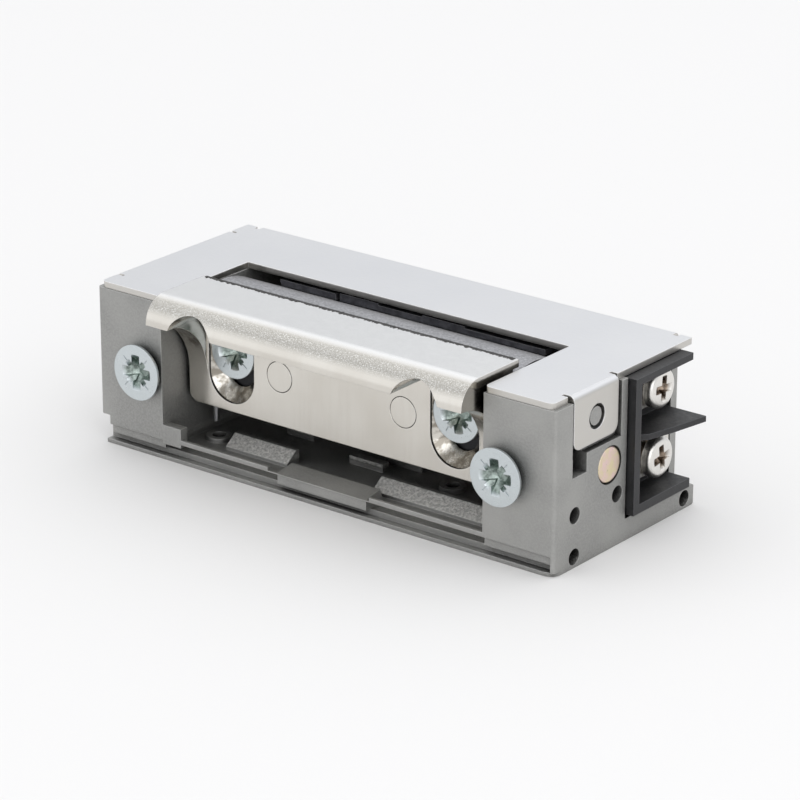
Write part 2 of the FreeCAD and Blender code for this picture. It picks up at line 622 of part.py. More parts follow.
def make_return_spring():
    """The right-hand torsion spring: a coil round the axle, a short leg and a longer outer leg."""
    pitch = 0.82
    turns = 2.5
    start_x = SPRING_POCKET[1] - 0.48
    end_x = start_x - pitch * turns
    low = AXLE_Z - SPRING_RADIUS
    high = AXLE_Z + SPRING_RADIUS
    body = coil(SPRING_WIRE, SPRING_RADIUS, pitch, turns)
    body = flip(body.rotated(Vector(0, 0, 0), Y_AXIS, 90))
    body.translate(at(start_x, AXLE_DEPTH, AXLE_Z))
    short_leg = rod(SPRING_WIRE, at(end_x, AXLE_DEPTH, high), at(end_x, AXLE_DEPTH - 1.6, high))
    route = [at(start_x, AXLE_DEPTH, low), at(start_x, LEG_REST_DEPTH, low),
             at(start_x, LEG_REST_DEPTH, LEG_REST_Z)]
    long_leg = wire_along(tube_path(route, 0.9), SPRING_WIRE)
    knuckles = [Part.makeSphere(SPRING_WIRE + 0.04, at(x, AXLE_DEPTH, z))
                for x, z in ((start_x, low), (end_x, high))]
    return join([body, short_leg, long_leg] + knuckles)


# ---- magnet -------------------------------------------------------------------------
def make_armature():
    """The clapper: a plate over the coil and a leg whose nose stands under the sear."""
    span = (-ARMATURE_HALF, ARMATURE_HALF)
    hub = rod(ARMATURE_HUB, at(span[0], PIVOT_DEPTH, PIVOT_Z), at(span[1], PIVOT_DEPTH, PIVOT_Z))
    plate = block(span, (LEG_DEPTH, PIVOT_DEPTH), (PLATE_Z, PLATE_Z + PLATE_GAUGE))
    leg = block((-NOSE_HALF, NOSE_HALF), (LEG_DEPTH, LEG_DEPTH + PLATE_GAUGE),
                (LEG_BOTTOM, PLATE_Z + 0.5))
    tip = on_axle(SEAR_RADIUS, SEAR_ANGLE)
    slope = math.radians(SEAR_BEVEL)
    gap = (NOSE_GAP * math.sin(slope), -NOSE_GAP * math.cos(slope))
    above = (NOSE_TOP - tip[1] - gap[1]) / math.tan(slope)
    below = (tip[1] + gap[1] - LEG_BOTTOM) / math.tan(slope)
    corners = [(LEG_DEPTH + 0.5, LEG_BOTTOM), (tip[0] + gap[0] - below, LEG_BOTTOM),
               (tip[0] + gap[0] + above, NOSE_TOP), (LEG_DEPTH + 0.5, NOSE_TOP)]
    nose = along_x(corners, (-NOSE_HALF, NOSE_HALF))
    bore = rod(PIVOT_RADIUS + PIN_FIT, at(span[0] - 1, PIVOT_DEPTH, PIVOT_Z),
               at(span[1] + 1, PIVOT_DEPTH, PIVOT_Z))
    return join([hub, plate, leg, nose]).cut(bore)


def make_armature_pin():
    """The pin on which the armature turns, held by the frame's side walls."""
    end = FRAME_WALL_X + FRAME_WALL - 0.1
    return rod(PIVOT_RADIUS, at(-end, PIVOT_DEPTH, PIVOT_Z), at(end, PIVOT_DEPTH, PIVOT_Z))


def make_armature_spring():
    """The pull spring that lifts the armature into the locked position."""
    body = coil(0.14, 0.8, 0.36, 8.5)
    body.translate(at(0, 20.9, PLATE_Z + PLATE_GAUGE + 0.22))
    return body


def make_magnet_frame():
    """The black frame over the coil; its front edge is the row of blocks behind the keeper."""
    top = block((-FRAME_HALF, FRAME_HALF), (FRAME_FRONT + 0.6, CAVITY_BACK - 0.2),
                (FRAME_UNDERSIDE, FRAME_TOP - 0.6))
    teeth = [((-19.3, -10.8), FRAME_TOP - 0.35), ((-10.2, -4.4), FRAME_TOP - 0.15),
             ((-4.4, 2.2), FRAME_TOP - 0.4), ((2.2, 8.4), FRAME_TOP - 0.2),
             ((8.4, FRAME_HALF), FRAME_TOP - 0.45)]
    blocks = [block(x, (FRAME_FRONT, FRAME_FRONT + 1.6), (FRAME_UNDERSIDE, height))
              for x, height in teeth]
    pocket = block((-18.6, -11.5), (FRAME_FRONT + 0.5, FRAME_FRONT + 1.2),
                   (FRAME_UNDERSIDE + 0.3, FRAME_TOP))
    wall = block((FRAME_WALL_X, FRAME_WALL_X + FRAME_WALL), (20.6, CAVITY_BACK - 0.2),
                 (FLOOR_Z, FRAME_UNDERSIDE))
    eye = rod(PIVOT_RADIUS + FIT, at(FRAME_WALL_X - 1, PIVOT_DEPTH, PIVOT_Z),
              at(FRAME_WALL_X + 3, PIVOT_DEPTH, PIVOT_Z))
    wire_eyes = [rod(WIRE_RADIUS + 0.15, at(FRAME_WALL_X - 1, WIRE_DEPTH, z),
                     at(FRAME_WALL_X + 3, WIRE_DEPTH, z))
                 for z in WIRE_HEIGHTS]
    walls = [wall.cut(eye) for wall, eye in zip(both_ends(wall), both_ends(eye))]
    for wire_eye in wire_eyes:
        walls[0] = walls[0].cut(wire_eye)
    return join([top] + blocks + walls).cut(pocket)


def make_bobbin():
    """The coil former: a flattened tube between two flanges."""
    outer = ((-BOBBIN_HALF, BOBBIN_HALF), (BOBBIN_FRONT, BOBBIN_BACK))
    flanges = [block(outer[0], outer[1], (BOBBIN_BOTTOM, BOBBIN_BOTTOM + FLANGE)),
               block(outer[0], outer[1], (BOBBIN_TOP - FLANGE, BOBBIN_TOP))]
    flanges = [rounded(flange, 1.0, lambda edge: runs(edge, Z_AXIS)) for flange in flanges]
    wall = 0.5
    tube = block((-CORE_HALF - wall, CORE_HALF + wall), (CORE_DEPTHS[0] - wall, CORE_DEPTHS[1] + wall),
                 (BOBBIN_BOTTOM, BOBBIN_TOP))
    bore = block((-CORE_HALF - FIT, CORE_HALF + FIT), (CORE_DEPTHS[0] - FIT, CORE_DEPTHS[1] + FIT),
                 (BOBBIN_BOTTOM - 1, BOBBIN_TOP + 1))
    return join(flanges + [tube]).cut(bore)


def make_winding():
    """The copper winding, as the body that its turns fill."""
    wall = 0.5 + FIT
    inset = 0.35
    heights = (BOBBIN_BOTTOM + FLANGE + FIT, BOBBIN_TOP - FLANGE - FIT)
    outer = block((-BOBBIN_HALF + inset, BOBBIN_HALF - inset),
                  (BOBBIN_FRONT + inset, BOBBIN_BACK - inset), heights)
    outer = rounded(outer, 1.6, lambda edge: runs(edge, Z_AXIS))
    inner = block((-CORE_HALF - wall, CORE_HALF + wall),
                  (CORE_DEPTHS[0] - wall, CORE_DEPTHS[1] + wall), heights)
    return outer.cut(inner)


def make_core():
    """The flat iron core, standing on the yoke."""
    return block((-CORE_HALF, CORE_HALF), CORE_DEPTHS, (YOKE_BOTTOM + YOKE_GAUGE, CORE_TOP))


def make_yoke():
    """The L-shaped iron yoke under and behind the coil."""
    half = 12.6
    foot = block((-half, half), (BOBBIN_FRONT, YOKE_BACK), (YOKE_BOTTOM, YOKE_BOTTOM + YOKE_GAUGE))
    back = block((-BOBBIN_HALF, BOBBIN_HALF), (YOKE_BACK - YOKE_GAUGE, YOKE_BACK), (YOKE_BOTTOM, 13.3))
    hole = rod(YOKE_SCREW_RADIUS + FIT, at(YOKE_SCREW_X, YOKE_SCREW_DEPTH, 0),
               at(YOKE_SCREW_X, YOKE_SCREW_DEPTH, 5))
    solid = join([foot, back])
    for each in both_ends(hole):
        solid = solid.cut(each)
    return solid


def make_yoke_screws():
    """Two small pan-head screws that hold the yoke to the floor."""
    top = YOKE_BOTTOM + YOKE_GAUGE
    x, depth = YOKE_SCREW_X, YOKE_SCREW_DEPTH
    head = rod(1.5, at(x, depth, top), at(x, depth, top + 1.0))
    head = rounded(head, 0.3, lambda edge: edge.BoundBox.ZMin > top + 0.9)
    shank = rod(YOKE_SCREW_RADIUS, at(x, depth, 0.5), at(x, depth, top))
    screw = join([head, shank])
    slot = block((x - 2, x + 2), (depth - 0.2, depth + 0.2), (top + 0.6, top + 2))
    return both_ends(screw.cut(slot))


# ---- terminals ----------------------------------------------------------------------
def make_terminal_block():
    """The E-shaped insulator: a base, three walls and the fin between the two clamps."""
    low, high = BLOCK_Z
    base = block((BLOCK_INNER_X, BLOCK_BASE_X), BLOCK_DEPTHS, BLOCK_Z)
    front = block((BLOCK_INNER_X, BLOCK_FACE_X), (BLOCK_DEPTHS[0], BLOCK_DEPTHS[0] + BLOCK_WALL),
                  BLOCK_Z)
    floor = block((BLOCK_INNER_X, BLOCK_FACE_X), BLOCK_DEPTHS, (low, low + BLOCK_WALL))
    roof = block((BLOCK_INNER_X, BLOCK_FACE_X), BLOCK_DEPTHS, (high - BLOCK_ROOF, high))
    front_depth, back_depth = BLOCK_DEPTHS
    fin_outline = [(front_depth + 0.5, BLOCK_BASE_X - 1), (front_depth + 0.9, BLOCK_FACE_X - 1.3),
                   (front_depth + 2.6, BLOCK_FACE_X + 0.1), (front_depth + 6.0, FIN_X - 1.0),
                   (back_depth, FIN_X), (back_depth, BLOCK_BASE_X - 1)]
    corners = [at(x, depth, FIN_Z - FIN_THICKNESS / 2) for depth, x in fin_outline]
    fin = Part.Face(Part.makePolygon(corners + corners[:1])).extrude(Vector(0, 0, FIN_THICKNESS))
    solid = join([base, front, floor, roof, fin])
    for z in TERMINAL_SCREW_Z:
        solid = solid.cut(rod(TERMINAL_SHANK_RADIUS + 0.1, at(BLOCK_INNER_X + 0.6, TERMINAL_DEPTH, z),
                              at(BLOCK_FACE_X + 1, TERMINAL_DEPTH, z)))
    return solid


def make_contacts():
    """The two contact plates against which the wires are clamped."""
    plates = []
    for z in TERMINAL_SCREW_Z:
        depths = (BLOCK_DEPTHS[0] + BLOCK_WALL + 0.2, BLOCK_DEPTHS[1] - 0.1)
        plate = block((BLOCK_BASE_X, BLOCK_BASE_X + CONTACT_GAUGE), depths,
                      (z - CONTACT_HALF, z + CONTACT_HALF))
        hole = rod(TERMINAL_SHANK_RADIUS + PIN_FIT, at(BLOCK_BASE_X - 1, TERMINAL_DEPTH, z),
                   at(BLOCK_FACE_X, TERMINAL_DEPTH, z))
        plates.append(plate.cut(hole))
    return plates


def make_terminal_screw(z, turn):
    """A pan-head terminal screw."""
    head = Part.makeCylinder(TERMINAL_HEAD_RADIUS, TERMINAL_HEAD, Vector(0, 0, -TERMINAL_HEAD))
    head = rounded(head, 0.6, lambda edge: edge.BoundBox.ZMin > -0.1)
    tip = BLOCK_INNER_X + 1.8 - TERMINAL_FACE_X
    shank = Part.makeCylinder(TERMINAL_SHANK_RADIUS, -TERMINAL_HEAD - tip, Vector(0, 0, tip))
    screw = join([head, shank]).cut(cross_recess(1.6, 0.95, 1.2))
    screw.rotate(Vector(0, 0, 0), Z_AXIS, turn)
    screw.rotate(Vector(0, 0, 0), Y_AXIS, 90)
    screw.translate(at(TERMINAL_FACE_X, TERMINAL_DEPTH, z))
    return screw


def make_lead_wires():
    """The two insulated wires from the coil to the back of the terminal block."""
    wires = []
    for start_z, end_z in zip(WIRE_HEIGHTS, TERMINAL_SCREW_Z):
        points = [at(BOBBIN_HALF + 0.1, WIRE_DEPTH, start_z), at(17.5, WIRE_DEPTH, start_z),
                  at(21.0, TERMINAL_DEPTH, end_z), at(BLOCK_INNER_X, TERMINAL_DEPTH, end_z)]
        wires.append(wire_along(tube_path(points, 2.2), WIRE_RADIUS))
    return wires


# ---- output -------------------------------------------------------------------------
def write(name, solids):
    """Write one node, which may be several separate solids."""
    shape = solids[0] if len(solids) == 1 else Part.makeCompound(solids)
    shape.exportStep("parts/" + name + ".step")
    for solid in solids:
        if not solid.isValid() or len(solid.Solids) != 1:
            print(name, "is not one valid solid", solid.isValid(), len(solid.Solids))


def main():
    """Write every node."""
    os.makedirs("parts", exist_ok=True)
    springs = both_ends(make_return_spring())
    write("housing", [make_housing()])
    write("top_cover", [make_cover()])
    write("faceplate_screws", make_faceplate_screws())
    write("keeper_pins", make_keeper_pins())
    write("keeper_carrier", [make_carrier()])
    write("clamp_screws", make_clamp_screws())
    write("latch_bracket", [make_bracket()])
    write("guide_pins", make_guide_pins())
    write("return_spring_right", [springs[0]])
    write("return_spring_left", [springs[1]])
    write("armature", [make_armature()])
    write("armature_pin", [make_armature_pin()])
    write("armature_spring", [make_armature_spring()])
    write("magnet_frame", [make_magnet_frame()])
    write("coil_bobbin", [make_bobbin()])
    write("coil_winding", [make_winding()])
    write("coil_core", [make_core()])
    write("coil_yoke", [make_yoke()])
    write("yoke_screws", make_yoke_screws())
    write("terminal_block", [make_terminal_block()])
    write("contact_plates", make_contacts())
    write("terminal_screw_lower", [make_terminal_screw(TERMINAL_SCREW_Z[0], 8)])
    write("terminal_screw_upper", [make_terminal_screw(TERMINAL_SCREW_Z[1], -4)])
    write("lead_wires", make_lead_wires())


main()
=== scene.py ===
import math
import random

import bpy
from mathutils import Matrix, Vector


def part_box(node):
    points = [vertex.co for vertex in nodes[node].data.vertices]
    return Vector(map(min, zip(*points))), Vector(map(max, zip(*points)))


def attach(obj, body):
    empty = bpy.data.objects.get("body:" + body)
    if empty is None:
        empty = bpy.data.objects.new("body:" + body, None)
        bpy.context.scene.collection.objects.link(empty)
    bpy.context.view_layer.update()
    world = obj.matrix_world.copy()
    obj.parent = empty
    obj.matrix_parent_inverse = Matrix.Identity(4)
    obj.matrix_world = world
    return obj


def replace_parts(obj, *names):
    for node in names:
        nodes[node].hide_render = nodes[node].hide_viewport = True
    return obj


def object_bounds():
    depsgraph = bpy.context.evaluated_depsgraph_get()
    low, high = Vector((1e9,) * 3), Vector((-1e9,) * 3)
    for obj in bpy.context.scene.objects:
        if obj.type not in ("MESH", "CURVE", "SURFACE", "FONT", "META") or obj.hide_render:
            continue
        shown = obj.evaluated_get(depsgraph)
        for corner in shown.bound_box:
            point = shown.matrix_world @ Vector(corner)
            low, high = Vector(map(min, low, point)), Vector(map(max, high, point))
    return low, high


# The looks of the electric door strike. Metres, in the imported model's frame:
# +X towards the terminal end, +Y to the back, +Z up. Places come from the frame's boxes.

MM = 0.001
RAMP_HEIGHT = 3.1 * MM                  # the floor's blasted slopes lie below this
BAR_HEIGHT = 2.1 * MM                   # tops of the low bars on the window floor
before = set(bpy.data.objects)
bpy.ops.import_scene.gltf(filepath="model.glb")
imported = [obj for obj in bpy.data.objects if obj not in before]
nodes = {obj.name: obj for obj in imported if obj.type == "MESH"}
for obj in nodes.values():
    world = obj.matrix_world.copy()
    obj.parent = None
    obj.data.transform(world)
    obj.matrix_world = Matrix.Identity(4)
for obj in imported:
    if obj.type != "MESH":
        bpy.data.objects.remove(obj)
cad_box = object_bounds()


# ---- shader helpers -----------------------------------------------------------------
def start_material(name):
    """A new material with its node tree and its main shader."""
    material = bpy.data.materials.new(name)
    material.use_nodes = True
    tree = material.node_tree
    return material, tree, tree.nodes["Principled BSDF"]


def add(tree, kind, inputs=None, **settings):
    """A shader node with its settings, and its inputs as values or as sockets to join."""
    node = tree.nodes.new("ShaderNode" + kind)
    for key, value in settings.items():
        setattr(node, key, value)
    for key, value in (inputs or {}).items():
        if isinstance(value, bpy.types.NodeSocket):
            tree.links.new(value, node.inputs[key])
        else:
            node.inputs[key].default_value = value
    return node


def position(tree):
    """Where a point is in the row frame, in metres."""
    return add(tree, "TexCoord").outputs["Object"]


def facing(tree):
    """Which way a point's surface faces, in the piece's own frame, so that it turns with the piece."""
    return add(tree, "TexCoord").outputs["Normal"]


def axis_of(tree, vector, axis):
    """One part of a vector: X, Y or Z."""
    return add(tree, "SeparateXYZ", {0: vector}).outputs[axis]


def noise(tree, size, detail=2.0, roughness=0.5, stretch=(1, 1, 1)):
    """Noise whose features are about size metres across, longer along a stretched axis."""
    scale = tuple(1 / (size * each) for each in stretch)
    place = add(tree, "Mapping", {"Vector": position(tree), "Scale": scale}).outputs[0]
    made = add(tree, "TexNoise", {"Vector": place, "Scale": 1.0, "Detail": detail, "Roughness": roughness})
    return made.outputs["Fac"]


def remap(tree, value, low, high, to_low=0.0, to_high=1.0):
    """A value spread from one range to another, and held at its ends."""
    made = add(tree, "MapRange", {"Value": value, "From Min": low, "From Max": high,
                                  "To Min": to_low, "To Max": to_high})
    return made.outputs["Result"]


def maths(tree, operation, first, second=0.0):
    """One sum."""
    return add(tree, "Math", {0: first, 1: second}, operation=operation).outputs[0]


def blend_colour(tree, factor, first, second):
    """Two colours mixed by a factor."""
    made = add(tree, "Mix", {0: factor}, data_type="RGBA")
    for index, value in ((6, first), (7, second)):
        if isinstance(value, bpy.types.NodeSocket):
            tree.links.new(value, made.inputs[index])
        else:
            made.inputs[index].default_value = (*value, 1.0)
    return made.outputs[2]


def near(tree, value, target, reach):
    """1 where a value is within reach of its target, falling to 0 just outside."""
    gap = maths(tree, "ABSOLUTE", maths(tree, "SUBTRACT", value, target))
    return remap(tree, gap, reach, reach * 1.5, 1.0, 0.0)


def soft_edges(tree, radius):
    """A normal that rounds every sharp edge by a radius."""
    return add(tree, "Bevel", {"Radius": radius}, samples=6).outputs["Normal"]


def edge_mask(tree, rounded_normal):
    """1 on the edges that soft_edges rounds, 0 on the faces."""
    flat = add(tree, "NewGeometry").outputs["Normal"]
    lined_up = add(tree, "VectorMath", {0: rounded_normal, 1: flat}, operation="DOT_PRODUCT").outputs["Value"]
    return remap(tree, lined_up, 0.80, 0.995, 1.0, 0.0)


def crevices(tree, reach):
    """1 in the open, falling towards 0 deep in corners and holes; the materials paint shade with it."""
    return add(tree, "AmbientOcclusion", {"Distance": reach}, samples=6).outputs["AO"]


def bumped(tree, height, depth, normal):
    """A normal tipped by a height map whose full range is depth metres."""
    made = add(tree, "Bump", {"Height": height, "Distance": depth, "Strength": 1.0, "Normal": normal})
    return made.outputs["Normal"]


def set_shader(tree, shader, **inputs):
    """Values and sockets for the main shader; an underscore in a name is a space."""
    for key, value in inputs.items():
        socket = shader.inputs[key.replace("_", " ")]
        if isinstance(value, bpy.types.NodeSocket):
            tree.links.new(value, socket)
        elif isinstance(value, tuple):
            socket.default_value = (*value, 1.0)
        else:
            socket.default_value = value


# ---- metals -------------------------------------------------------------------------
def blasted_places(tree):
    """1 on the forward slopes and on the bars of the window floor, 0 elsewhere."""
    fade = 0.1 * MM
    bar_reach = 0.26 * MM
    length_share = 0.8
    place = position(tree)
    height = axis_of(tree, place, "Z")
    direction = facing(tree)
    forward = remap(tree, axis_of(tree, direction, "Y"), -0.45, -0.30, 1.0, 0.0)
    upward = remap(tree, axis_of(tree, direction, "Z"), 0.30, 0.45)
    low_down = remap(tree, height, RAMP_HEIGHT, RAMP_HEIGHT + fade, 1.0, 0.0)
    slopes = maths(tree, "MULTIPLY", maths(tree, "MULTIPLY", forward, upward), low_down)
    low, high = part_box("keeper_carrier")
    along = near(tree, axis_of(tree, place, "X"), 0.0, high.x * length_share)
    across = near(tree, axis_of(tree, place, "Y"), (low.y + high.y) / 2, (high.y - low.y) / 2)
    under_keeper = maths(tree, "MULTIPLY", along, across)
    bars = maths(tree, "MULTIPLY", near(tree, height, BAR_HEIGHT, bar_reach), under_keeper)
    return maths(tree, "MAXIMUM", slopes, bars)


def pin_gap_shade(tree):
    """1 within the painted shade of the gap round each keeper pin, 0 outside it."""
    gap = 0.10 * MM
    fade_end = 0.20 * MM
    low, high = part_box("keeper_pins")
    centre = (low + high) / 2
    place = position(tree)
    across = maths(tree, "SUBTRACT", axis_of(tree, place, "Y"), centre.y)
    up = maths(tree, "SUBTRACT", axis_of(tree, place, "Z"), centre.z)
    squares = maths(tree, "ADD", maths(tree, "MULTIPLY", across, across), maths(tree, "MULTIPLY", up, up))
    radius = maths(tree, "SQRT", squares)
    pin_radius = (high.z - low.z) / 2
    return remap(tree, radius, pin_radius + gap, pin_radius + fade_end, 1.0, 0.0)


def cast_zinc():
    """Die-cast zinc: matt grey, fine grain, bright specks, pale edges, coarser ramps and bars, and painted
    shade in hollows and round the keeper pins.
    """
    material, tree, shader = start_material("cast_zinc")
    rounded = soft_edges(tree, 0.16 * MM)
    edges = edge_mask(tree, rounded)
    cloud = noise(tree, 9 * MM, 3)
    grain = noise(tree, 0.27 * MM, 4, 0.65)
    colour = blend_colour(tree, remap(tree, cloud, 0.35, 0.65),
                          (0.315, 0.314, 0.304), (0.395, 0.392, 0.378))
    colour = blend_colour(tree, remap(tree, grain, 0.40, 0.62, 0.0, 0.5), colour, (0.47, 0.467, 0.452))
    specks = remap(tree, noise(tree, 0.10 * MM, 1), 0.68, 0.78, 0.0, 0.6)
    colour = blend_colour(tree, specks, colour, (0.60, 0.595, 0.58))
    rough_places = blasted_places(tree)
    blasted = noise(tree, 0.34 * MM, 3, 0.7)
    blasted_colour = blend_colour(tree, remap(tree, blasted, 0.40, 0.60),
                                  (0.44, 0.435, 0.42), (0.70, 0.69, 0.665))
    colour = blend_colour(tree, rough_places, colour, blasted_colour)
    worn = maths(tree, "MULTIPLY", edges, remap(tree, noise(tree, 3 * MM, 3), 0.30, 0.60, 0.35, 0.85))
    colour = blend_colour(tree, worn, colour, (0.64, 0.637, 0.62))
    # painted shade: colour darkened towards black in hollows, corners and the gap round each keeper pin
    deep = remap(tree, crevices(tree, 10 * MM), 0.05, 0.36, 0.12, 1.0)
    close = remap(tree, crevices(tree, 3 * MM), 0.27, 0.50, 0.03, 1.0)
    shade = maths(tree, "MULTIPLY", deep, close)
    shade = maths(tree, "MULTIPLY", shade, maths(tree, "SUBTRACT", 1.0, pin_gap_shade(tree)))
    colour = blend_colour(tree, shade, (0.014, 0.0135, 0.013), colour)
    rough = remap(tree, grain, 0.3, 0.7, 0.50, 0.68)
    coarse = maths(tree, "MULTIPLY", rough_places, maths(tree, "MULTIPLY", blasted, 2.5))
    relief = maths(tree, "ADD", grain, coarse)
    normal = bumped(tree, relief, 0.042 * MM, rounded)
    set_shader(tree, shader, Base_Color=colour, Metallic=0.85, Roughness=rough, Normal=normal)
    return material


def stainless_sheet():
    """Satin cold-rolled sheet: a very fine grain along it, a painted reflection that makes upright faces
    darker and warmer, painted highlights on its edges.
    """
    material, tree, shader = start_material("stainless_sheet")
    rounded = soft_edges(tree, 0.18 * MM)
    edges = edge_mask(tree, rounded)
    cloud = noise(tree, 16 * MM, 2)
    rolled = noise(tree, 0.10 * MM, 3, 0.6, (14, 1, 1))
    colour = blend_colour(tree, remap(tree, cloud, 0.3, 0.7), (0.705, 0.71, 0.725), (0.745, 0.747, 0.755))
    colour = blend_colour(tree, remap(tree, rolled, 0.35, 0.75, 0.0, 0.25), colour, (0.68, 0.68, 0.69))
    # painted reflection: upright faces painted darker and warmer than the top
    upright = remap(tree, axis_of(tree, facing(tree), "Z"), 0.30, 0.70, 0.85, 0.0)
    colour = blend_colour(tree, upright, colour, (0.565, 0.545, 0.505))
    # painted highlight: pale colour on every rounded edge
    colour = blend_colour(tree, edges, colour, (0.86, 0.86, 0.86))
    rough = remap(tree, rolled, 0.3, 0.7, 0.30, 0.42)
    normal = bumped(tree, rolled, 0.003 * MM, rounded)
    set_shader(tree, shader, Base_Color=colour, Metallic=1.0, Roughness=rough, Normal=normal)
    return material


def slot_cone(tree, direction):
    """1 on the turned countersinks of the clamping slots, which lie below the lip."""
    lip_share = 0.62
    fade = 0.3 * MM
    forward = axis_of(tree, direction, "Y")
    off_front = remap(tree, forward, -0.92, -0.85)
    tilt = maths(tree, "MULTIPLY", off_front, remap(tree, forward, -0.40, -0.30, 1.0, 0.0))
    low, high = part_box("latch_bracket")
    below_lip = low.z + lip_share * (high.z - low.z)
    under = remap(tree, axis_of(tree, position(tree), "Z"), below_lip, below_lip + fade, 1.0, 0.0)
    return maths(tree, "MULTIPLY", tilt, under)


def nickel_plate():
    """Warm nickel plate: faint upright streaks, painted edge highlights, pitted roundings with a painted dark
    band and painted sparkle, painted dark reflections in rings on the countersinks, a painted cool highlight
    on the top, painted shade in hollows.
    """
    material, tree, shader = start_material("nickel_plate")
    rounded = soft_edges(tree, 0.12 * MM)
    edges = edge_mask(tree, rounded)
    streaks = noise(tree, 0.7 * MM, 3, 0.6, (1, 1, 12))
    cloud = noise(tree, 6 * MM, 2)
    colour = blend_colour(tree, remap(tree, cloud, 0.35, 0.65), (0.64, 0.612, 0.56), (0.69, 0.665, 0.615))
    colour = blend_colour(tree, remap(tree, streaks, 0.45, 0.70, 0.0, 0.35), colour, (0.64, 0.605, 0.55))
    # painted highlight: pale colour on every rounded edge
    colour = blend_colour(tree, edges, colour, (0.88, 0.865, 0.83))
    direction = facing(tree)
    upward = remap(tree, axis_of(tree, direction, "Z"), 0.40, 0.62)
    level = remap(tree, axis_of(tree, direction, "Z"), 0.86, 0.97, 1.0, 0.0)
    rounding = maths(tree, "MULTIPLY", upward, level)
    pits_and_sparkle = noise(tree, 0.13 * MM, 3, 0.7)
    painted_sparkle = maths(tree, "MULTIPLY", rounding, remap(tree, pits_and_sparkle, 0.50, 0.64))
    # painted reflection: a darker band across the lip's rounding; painted sparkle: pale specks on its pits,
    # which are also real bumps
    colour = blend_colour(tree, maths(tree, "MULTIPLY", rounding, 0.80), colour, (0.40, 0.385, 0.35))
    colour = blend_colour(tree, painted_sparkle, colour, (0.80, 0.79, 0.76))
    # painted highlight: flat tops painted paler and cooler
    painted_top_highlight = remap(tree, axis_of(tree, direction, "Z"), 0.90, 0.99)
    colour = blend_colour(tree, painted_top_highlight, colour, (0.79, 0.79, 0.785))
    # painted reflection: dark rings on the polished countersinks stand in for their dark reflections
    turned = slot_cone(tree, direction)
    rings = noise(tree, 0.9 * MM, 2, 0.6, (1, 8, 1))
    painted_ring_reflections = maths(tree, "MULTIPLY", turned, remap(tree, rings, 0.42, 0.58, 0.0, 0.75))
    colour = blend_colour(tree, painted_ring_reflections, colour, (0.19, 0.165, 0.13))
    # painted shade: hollows darkened towards black
    shade = remap(tree, crevices(tree, 3 * MM), 0.10, 0.55, 0.22, 1.0)
    colour = blend_colour(tree, shade, (0.05, 0.045, 0.04), colour)
    smoother = maths(tree, "MULTIPLY", turned, -0.06)
    rough = maths(tree, "ADD", remap(tree, streaks, 0.3, 0.7, 0.17, 0.25), smoother)
    pitted = maths(tree, "MULTIPLY", pits_and_sparkle, rounding)
    relief = maths(tree, "ADD", maths(tree, "MULTIPLY", streaks, 0.06), pitted)
    normal = bumped(tree, relief, 0.022 * MM, rounded)
    set_shader(tree, shader, Base_Color=colour, Metallic=1.0, Roughness=rough, Normal=normal)
    return material


def screw_zinc(name, face_colour, recess_shade_colour, centres, reach, face_axis, face_at, sign):
    """A plated screw: a pale satin face, and painted shade with paler painted lit patches in its recess,
    within reach of each screw's axis.
    """
    material, tree, shader = start_material(name)
    rounded = soft_edges(tree, 0.10 * MM)
    place = position(tree)
    sunk = maths(tree, "MULTIPLY", maths(tree, "SUBTRACT", axis_of(tree, place, face_axis), face_at), sign)
    others = [each for each in "XYZ" if each != face_axis]
    inside = None
    for centre in centres:
        gaps = [maths(tree, "SUBTRACT", axis_of(tree, place, each), at) for each, at in zip(others, centre)]
        squares = [maths(tree, "MULTIPLY", gap, gap) for gap in gaps]
        radius = maths(tree, "SQRT", maths(tree, "ADD", squares[0], squares[1]))
        disc = remap(tree, radius, reach, reach * 1.04, 1.0, 0.0)
        inside = disc if inside is None else maths(tree, "MAXIMUM", inside, disc)
    # painted shade: the recess is painted dark, with lighter painted patches for its lit walls
    recess = maths(tree, "MULTIPLY", inside, remap(tree, sunk, 0.08 * MM, 0.45 * MM))
    patches = noise(tree, 0.5 * MM, 3, 0.6)
    recess_painted_light = tuple(min(1.0, part * 2.6) for part in recess_shade_colour)
    face_dark = tuple(part * 0.90 for part in face_colour)
    dark = blend_colour(tree, remap(tree, patches, 0.35, 0.65), recess_shade_colour, recess_painted_light)
    pale = blend_colour(tree, remap(tree, patches, 0.3, 0.7, 0.0, 0.4), face_colour, face_dark)
    colour = blend_colour(tree, recess, pale, dark)
    rough = remap(tree, noise(tree, 0.16 * MM, 2), 0.3, 0.7, 0.26, 0.38)
    normal = bumped(tree, noise(tree, 0.16 * MM, 3), 0.006 * MM, rounded)
    set_shader(tree, shader, Base_Color=colour, Metallic=1.0, Roughness=rough, Normal=normal)
    return material


def passivated_pin():
    """Yellow-passivated steel with pink and gold clouds."""
    material, tree, shader = start_material("passivated_steel")
    rounded = soft_edges(tree, 0.12 * MM)
    clouds = remap(tree, noise(tree, 1.3 * MM, 3, 0.6), 0.38, 0.62)
    colour = blend_colour(tree, clouds, (0.74, 0.64, 0.42), (0.80, 0.62, 0.58))
    spots = remap(tree, noise(tree, 0.5 * MM, 2), 0.70, 0.78)
    colour = blend_colour(tree, spots, colour, (0.30, 0.26, 0.18))
    rough = remap(tree, clouds, 0.0, 1.0, 0.30, 0.42)
    normal = bumped(tree, noise(tree, 0.2 * MM, 3), 0.008 * MM, rounded)
    set_shader(tree, shader, Base_Color=colour, Metallic=1.0, Roughness=rough, Normal=normal)
    return material


